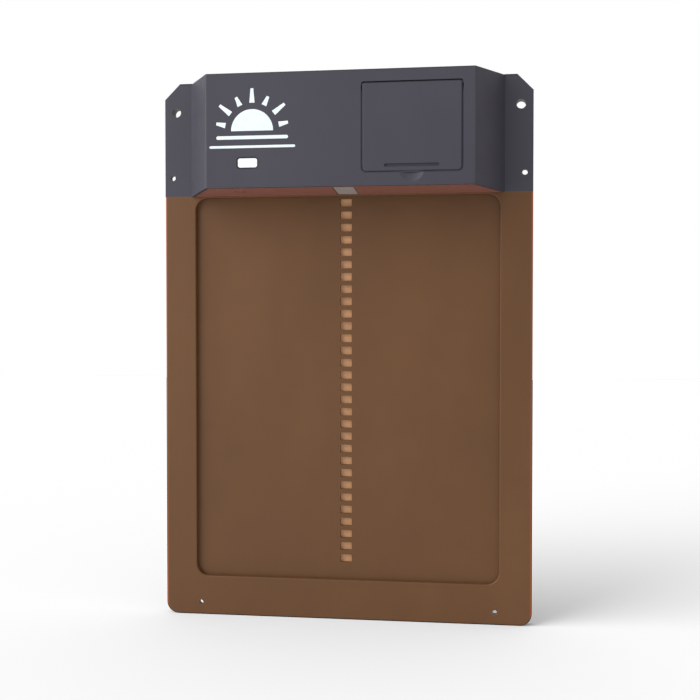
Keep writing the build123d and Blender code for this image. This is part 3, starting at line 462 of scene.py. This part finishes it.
# The record's material slots, but for cell_wrap: each cell has a sleeve of its own.
MATERIALS = {
    # The frame's edges carry wear and a painted warm highlight.
    "frame_plastic": partial(moulded, rgb=BROWN, rub=WARM_WEAR_AND_HIGHLIGHT, wear_and_highlight=0.45, painted_light=frame_painted_glow),
    "gate_plastic": partial(moulded, rgb=BROWN, rough=0.46, wear_and_highlight=0.25),
    "rack_strip": strip,
    "head_plastic": partial(moulded, rgb=SLATE, rough=0.40, wear_and_highlight=0.16, painted_light=head_painted_shade),
    "battery_cover_plastic": partial(moulded, rgb=SLATE, rough=0.40, wear_and_highlight=0.16, edge=0.4 * MM),
    "window_white": partial(translucent, rgb=WHITE),
    "seal_rubber": partial(rubber, rgb=(44, 44, 46)),
    "inner_plastic": partial(moulded, rgb=(58, 58, 62), rough=0.5),
    "gear_plastic": partial(moulded, rgb=(218, 214, 204), rough=0.34, grain=1800.0),
    "guard_plastic": partial(moulded, rgb=(158, 150, 145), rough=0.45),
    "steel": partial(metal, rgb=(176, 178, 182)),
    "bronze": partial(metal, rgb=(176, 134, 78), rough=0.42),
    "contact_metal": partial(metal, rgb=(200, 200, 196), rough=0.22),
    "copper": partial(metal, rgb=(196, 120, 82), rough=0.26),
    "magnet": partial(moulded, rgb=(64, 64, 68), rough=0.62, grain=1500.0),
    "board_green": board,
    "chip_black": partial(moulded, rgb=(38, 38, 40), rough=0.52),
    "connector_white": partial(moulded, rgb=(226, 222, 210), rough=0.38),
    "sensor_clear": partial(translucent, rgb=(208, 212, 220)),
    "led_green": partial(translucent, rgb=(96, 190, 104)),
    "button_rubber": partial(rubber, rgb=(104, 68, 50)),
    "lead_insulation": partial(moulded, rgb=(150, 40, 36), rough=0.36, grain=2000.0),
}


def paint_frame_nodes():
    """Gives every carried-over CAD node the material of its slot, and returns the materials by slot."""
    slots = {entry["node"]: entry["material_slot"] for entry in frame["record"]["subparts"]}
    made = {slot: make(slot) for slot, make in sorted(MATERIALS.items())}
    for name, node in NODES.items():
        material = cell_sleeve(name + "_sleeve", name) if name in CELLS else made[slots[name]]
        node.data.materials.clear()
        node.data.materials.append(material)
    return made


# ---- mesh helpers -----------------------------------------------------------

def corners(node):
    """Lowest and highest corners of a CAD node at rest."""
    low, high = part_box(node)
    return Vector(low), Vector(high)


def centre(low, high):
    """Middle of a box in X and Z."""
    return (low.x + high.x) / 2, (low.z + high.z) / 2


def piece(made, name, body, slot, shape):
    """A new object in the shared frame, riding on a body, with the material of a slot."""
    verts, faces = shape
    mesh = bpy.data.meshes.new(name)
    mesh.from_pydata([tuple(v) for v in verts], [], faces)
    work = bmesh.new()
    work.from_mesh(mesh)
    bmesh.ops.recalc_face_normals(work, faces=work.faces)
    for face in work.faces:
        face.smooth = True
    for edge in work.edges:
        edge.smooth = edge.calc_face_angle(math.pi) < SHARP
    work.to_mesh(mesh)
    work.free()
    obj = bpy.data.objects.new(name, mesh)
    bpy.context.scene.collection.objects.link(obj)
    obj.data.materials.append(made[slot])
    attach(obj, body)
    return obj


def prism(outline, y_front, y_back):
    """An outline in X and Z given thickness in Y."""
    count = len(outline)
    verts = [(x, y_front, z) for x, z in outline] + [(x, y_back, z) for x, z in outline]
    faces = [list(range(count)), list(range(2 * count - 1, count - 1, -1))]
    for i in range(count):
        j = (i + 1) % count
        faces.append([i, i + count, j + count, j])
    return verts, faces


def block(x0, x1, y0, y1, z0, z1, draft=0.0):
    """Box whose front, at y0, is smaller than its back by draft on each side."""
    back = [(x0, y1, z0), (x1, y1, z0), (x1, y1, z1), (x0, y1, z1)]
    front = [(x0 + draft, y0, z0 + draft), (x1 - draft, y0, z0 + draft),
             (x1 - draft, y0, z1 - draft), (x0 + draft, y0, z1 - draft)]
    faces = [[0, 1, 2, 3], [7, 6, 5, 4]]
    for i in range(4):
        j = (i + 1) % 4
        faces.append([i, i + 4, j + 4, j])
    return back + front, faces


def turned(x, z, profile, segments=32):
    """A profile of (radius, y) turned round an axis along Y."""
    verts, faces, rings = [], [], []
    for radius, y in profile:
        count = segments if radius > 0 else 1
        rings.append([len(verts) + i for i in range(count)])
        for i in range(count):
            angle = 2 * math.pi * i / segments
            verts.append((x + radius * math.cos(angle), y, z + radius * math.sin(angle)))
    for first, second in zip(rings, rings[1:]):
        for i in range(segments):
            j = (i + 1) % segments
            face = [first[i % len(first)], first[j % len(first)],
                    second[j % len(second)], second[i % len(second)]]
            faces.append(list(dict.fromkeys(face)))
    return verts, faces


def loop(points, normal, radius, sides=8):
    """Closed round wire through points that lie in one plane."""
    verts, faces = [], []
    count = len(points)
    for i, point in enumerate(points):
        along = (points[(i + 1) % count] - points[i - 1]).normalized()
        side = along.cross(normal)
        for k in range(sides):
            angle = 2 * math.pi * k / sides
            verts.append(point + radius * (math.cos(angle) * normal + math.sin(angle) * side))
    for i in range(count):
        for k in range(sides):
            a, b = i * sides, ((i + 1) % count) * sides
            n = (k + 1) % sides
            faces.append([a + k, b + k, b + n, a + n])
    return verts, faces


def joined(shapes):
    """Several shapes as one."""
    verts, faces = [], []
    for shape_verts, shape_faces in shapes:
        offset = len(verts)
        verts += shape_verts
        faces += [[index + offset for index in face] for face in shape_faces]
    return verts, faces


def arc(x, z, radius, start, steps):
    """Points of a quarter turn round a centre, from an angle in degrees."""
    points = []
    for i in range(steps + 1):
        angle = math.radians(start + 90 * i / steps)
        points.append((x + radius * math.cos(angle), z + radius * math.sin(angle)))
    return points


def rounded_bar(x0, x1, z0, z1, radius, steps=6):
    """Outline of a rectangle with rounded corners."""
    quarters = ((x1 - radius, z0 + radius, -90), (x1 - radius, z1 - radius, 0),
                (x0 + radius, z1 - radius, 90), (x0 + radius, z0 + radius, 180))
    return [point for x, z, start in quarters for point in arc(x, z, radius, start, steps)]


# ---- outside of the head -------------------------------------------------------

def sun_disc():
    outline = []
    for i in range(SUN_STEPS + 1):
        angle = math.pi * i / SUN_STEPS
        outline.append((SUN_MIDDLE + SUN_R * math.cos(angle), HORIZON + SUN_R * math.sin(angle)))
    return outline


def sun_ray(ray):
    """Outline of one tapered ray; every second one is longer."""
    angle = math.radians(RAY_FIRST + RAY_SWEEP * ray / (RAYS - 1))
    along = Vector((math.cos(angle), math.sin(angle)))
    across = Vector((-along.y, along.x))
    start = Vector((SUN_MIDDLE, HORIZON))
    inner = start + along * (SUN_R + RAY_GAP)
    outer = start + along * (SUN_R + RAY_ENDS[ray % 2])
    points = (inner - across * RAY_FOOT, outer - across * RAY_TIP, outer + across * RAY_TIP,
              inner + across * RAY_FOOT)
    return [tuple(point) for point in points]


def sunrise(made):
    """A plain half sun with rays over two bars, printed on the head for the door's day and night."""
    outlines = [sun_disc()] + [sun_ray(ray) for ray in range(RAYS)]
    for half, low, tall in BARS:
        outlines.append(rounded_bar(SUN_MIDDLE - half * MM, SUN_MIDDLE + half * MM,
                                    HEIGHT - (low + tall / 2) * MM, HEIGHT - (low - tall / 2) * MM,
                                    tall / BAR_ROUND * MM))
    shapes = [prism(outline, FACE - PRINT_FILM, FACE + PRINT_SUNK) for outline in outlines]
    piece(made, "sunrise_print", "housing", "window_white", joined(shapes))


def cover_lip(made):
    """Thin skirt round the battery cover's sides and bottom, set back in the seam, that hides the gap."""
    low, high = corners("battery_seal")
    left, right = low.x - LIP_PAST_SEAL, high.x + LIP_PAST_SEAL
    bottom, top = low.z - LIP_PAST_SEAL, high.z - LIP_BELOW_TOP
    front, back = FACE + LIP_FRONT, FACE + LIP_BACK
    path = [(left, top), (left, bottom + COVER_CORNER)]
    for x, start in ((left + COVER_CORNER, 180), (right - COVER_CORNER, 270)):
        path += arc(x, bottom + COVER_CORNER, COVER_CORNER, start, CORNER_STEPS)
    path.append((right, top))
    middle = Vector(((left + right) / 2, (top + bottom) / 2))
    verts, faces = [], []
    for i, point in enumerate(path):
        here = Vector(point)
        along = Vector(path[min(i + 1, len(path) - 1)]) - Vector(path[max(i - 1, 0)])
        out = Vector((along.y, -along.x)).normalized()
        if out.dot(here - middle) < 0:
            out = -out
        for grow, y in ((-LIP_UNDER, front), (LIP_WIDE, front), (LIP_WIDE, back), (-LIP_UNDER, back)):
            spot = here + out * grow
            verts.append((spot.x, y, spot.y))
    for i in range(len(path) - 1):
        for k in range(4):
            a, b, n = 4 * i, 4 * (i + 1), (k + 1) % 4
            faces.append([a + k, b + k, b + n, a + n])
    faces += [[0, 1, 2, 3], [len(verts) - 1 - k for k in range(4)]]
    piece(made, "battery_cover_lip", "battery_door", "battery_cover_plastic", (verts, faces))


# ---- detail inside the head ---------------------------------------------------

def dome_profile(y_back, y_front, radius, flange, steps=8):
    """Round lens with a flange at its foot and a hemispherical end towards the front."""
    foot = y_back - LENS_FOOT
    profile = [(0.0, y_back), (flange, y_back), (flange, foot), (radius, foot)]
    for i in range(steps + 1):
        angle = math.pi / 2 * i / steps
        reach = radius * math.cos(angle) if i < steps else 0.0
        profile.append((reach, y_front + radius * (1 - math.sin(angle))))
    return profile


def lens(made, name, node, slot):
    """Domed lens in place of a plain one."""
    low, high = corners(node)
    flange = (high.x - low.x) / 2
    shape = turned(*centre(low, high), dome_profile(high.y, low.y, flange * LENS_SHARE, flange))
    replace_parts(piece(made, name, "housing", slot, shape), node)


def capacitor_can(made):
    """Electrolytic capacitor: rolled groove near its foot and a sunk top with a raised rim."""
    low, high = corners("board_capacitor")
    radius = (high.x - low.x) / 2
    profile = [(radius * share, low.y + past * MM) for share, past in CAN_FOOT]
    profile += [(radius * share, high.y + past * MM) for share, past in CAN_TOP]
    shape = turned(*centre(low, high), profile)
    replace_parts(piece(made, "capacitor_can", "housing", "chip_black", shape), "board_capacitor")


def chip(made):
    """Chip package with drafted sides and a printed mark at its first pin."""
    low, high = corners("control_chip")
    body = block(low.x, high.x, low.y, high.y - CHIP_LIFT, low.z, high.z, CHIP_DRAFT)
    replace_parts(piece(made, "chip_package", "housing", "chip_black", body), "control_chip")
    front, back = low.y - CHIP_MARK_PROUD, low.y + CHIP_MARK_SUNK
    mark = turned(low.x + CHIP_MARK_IN, high.z - CHIP_MARK_IN,
                  [(0.0, front), (CHIP_MARK_R, front), (CHIP_MARK_R, back), (0.0, back)], 20)
    piece(made, "chip_mark", "housing", "connector_white", mark)


def chip_legs(made):
    """Gull-wing legs: out of the package, down to the board, and along it."""
    low, high = corners("control_chip")
    top, sole = low.y + LEG_DROP, high.y - LEG_CLEAR
    pitch = (high.z - low.z) / LEGS
    legs = []
    for k in range(LEGS):
        z = low.z + pitch * (k + 0.5)
        for side, edge in ((-1, low.x), (1, high.x)):
            root, knee, toe = edge - side * LEG_ROOT, edge + side * LEG_KNEE, edge + side * LEG_TOE
            bend = knee - side * LEG_THICK
            for a, b, y0, y1 in ((root, knee, top, top + LEG_THICK), (bend, knee, top, sole),
                                 (bend, toe, sole - LEG_THICK, sole)):
                legs.append(block(min(a, b), max(a, b), y0, y1, z - LEG_HALF, z + LEG_HALF))
    piece(made, "chip_legs", "housing", "contact_metal", joined(legs))


def small_parts(made):
    """Small surface parts with plated ends on the front of the board, in rows with gaps."""
    corner = corners("main_board")[0]
    front = corner.y
    bodies, ends = [], []
    for row in SMALL_PART_ROWS:
        for column in SMALL_PART_COLUMNS:
            if random.random() < SMALL_PART_GAPS:
                continue
            x, z = corner.x + column * MM, corner.z + row * MM
            half, tall, thick = random.choice(SMALL_PART_SIZES)
            reach = half * SMALL_PART_BODY * MM
            bodies.append(block(x - reach, x + reach, front - thick * MM, front,
                                z - tall * MM, z + tall * MM, SMALL_PART_DRAFT))
            proud, rise = (thick + END_PROUD) * MM, (tall + END_PROUD) * MM
            for side in (-1, 1):
                inner, outer = x + side * half * SMALL_PART_END * MM, x + side * half * MM
                ends.append(block(min(inner, outer), max(inner, outer), front - proud, front,
                                  z - rise, z + rise, END_DRAFT))
    piece(made, "small_parts", "housing", "chip_black", joined(bodies))
    piece(made, "small_part_ends", "housing", "contact_metal", joined(ends))


def solder_joints(made):
    """Solder at the pins of each larger part, on the face of the board away from it."""
    board_low, board_high = corners("main_board")
    joints = []
    for node, count in SOLDERED:
        low, high = corners(node)
        y, outward = (board_high.y, 1) if low.y < board_low.y else (board_low.y, -1)
        for k in range(count):
            x, z = centre(low, high)
            if count == 2:
                x += (k - 0.5) * PIN_PITCH
            else:
                z = low.z + (high.z - low.z) * (k + 0.5) / count
            joints.append(turned(x, z, [(radius, y + outward * rise) for radius, rise in SOLDER], 16))
    piece(made, "solder_joints", "housing", "contact_metal", joined(joints))


def windings(made):
    """Copper coils round the armature's poles."""
    low, high = corners("armature")
    shaft_low, shaft_high = corners("motor_shaft")
    axis = (shaft_low + shaft_high) / 2
    middle = (low.x + high.x) / 2
    half_long = (high.x - low.x) / 2 + COIL_WIRE
    shapes = []
    for pole in range(POLES):
        angle = math.radians(90 + 360 / POLES * pole)
        out = Vector((0, math.cos(angle), math.sin(angle)))
        across = Vector((0, -math.sin(angle), math.cos(angle)))
        for turn in range(COIL_TURNS):
            rise = COIL_FIRST + COIL_PITCH * turn
            neck = SLOT_ACROSS - math.sqrt(SLOT_R ** 2 - (rise - SLOT_RISE) ** 2)
            half = neck + COIL_WIRE * COIL_CLEAR
            flat = rounded_bar(-half_long, half_long, -half, half, COIL_CORNER)
            points = [Vector((middle + a, axis.y, axis.z)) + out * rise + across * b for a, b in flat]
            shapes.append(loop(points, out, COIL_WIRE))
    piece(made, "armature_windings", "rotor", "copper", joined(shapes))


# ---- stage ------------------------------------------------------------------

def turn_to(obj, forward):
    """Turns a camera or light to look along a direction, with its top up."""
    obj.rotation_euler = forward.to_track_quat("-Z", "Y").to_euler()


def key_light():
    data = bpy.data.lights.new("key", "AREA")
    data.shape = "RECTANGLE"
    data.size, data.size_y = KEY_SIZE
    data.energy = KEY_WATTS
    obj = bpy.data.objects.new("key", data)
    bpy.context.scene.collection.objects.link(obj)
    obj.location = KEY_AT
    turn_to(obj, Vector(KEY_TOWARDS) - Vector(KEY_AT))


def world_light():
    """Even soft light; the backdrop itself is plain and pale."""
    world = bpy.data.worlds.new("studio")
    bpy.context.scene.world = world
    world.use_nodes = True
    nodes, links = world.node_tree.nodes, world.node_tree.links
    soft, pale = nodes["Background"], nodes.new("ShaderNodeBackground")
    for background, strength in ((soft, SOFT_LIGHT), (pale, BACKDROP)):
        background.inputs["Strength"].default_value = strength
        background.inputs["Color"].default_value = (1, 1, 1, 1)
    path = nodes.new("ShaderNodeLightPath")
    mix = nodes.new("ShaderNodeMixShader")
    links.new(path.outputs["Is Camera Ray"], mix.inputs[0])
    links.new(soft.outputs[0], mix.inputs[1])
    links.new(pale.outputs[0], mix.inputs[2])
    links.new(mix.outputs[0], nodes["World Output"].inputs["Surface"])


def floor():
    """Plain pale floor just under the object, which shows only the shadow that falls on it."""
    mesh = bpy.data.meshes.new("floor")
    level = LOW.z - FLOOR_DROP
    around = ((-1, -1), (1, -1), (1, 1), (-1, 1))
    mesh.from_pydata([(FLOOR_HALF * x, FLOOR_HALF * y, level) for x, y in around], [], [[0, 1, 2, 3]])
    obj = bpy.data.objects.new("floor", mesh)
    bpy.context.scene.collection.objects.link(obj)
    m = Material("floor_paint")
    m.colour(m.mix(m.span(m.noise(6.0), 0.0, 1.0), linear((250, 250, 250)), linear((247, 247, 247))))
    m.set(Roughness=0.9)
    mesh.materials.append(m.material)
    obj.is_shadow_catcher = True


def camera():
    data = bpy.data.cameras.new("camera")
    data.lens = CAMERA_LENS
    data.sensor_width = CAMERA_SENSOR
    obj = bpy.data.objects.new("camera", data)
    bpy.context.scene.collection.objects.link(obj)
    level = math.cos(CAMERA_PITCH)
    forward = Vector((-math.sin(CAMERA_YAW) * level, math.cos(CAMERA_YAW) * level, math.sin(CAMERA_PITCH)))
    obj.location = CAMERA_AT
    turn_to(obj, forward)
    bpy.context.scene.camera = obj


camera()
made = paint_frame_nodes()
sunrise(made)
cover_lip(made)
lens(made, "status_led_lens", "status_led", "led_green")
lens(made, "light_sensor_lens", "light_sensor", "sensor_clear")
capacitor_can(made)
chip(made)
chip_legs(made)
small_parts(made)
solder_joints(made)
windings(made)
floor()
world_light()
key_light()
bpy.context.scene.view_settings.view_transform = "Standard"
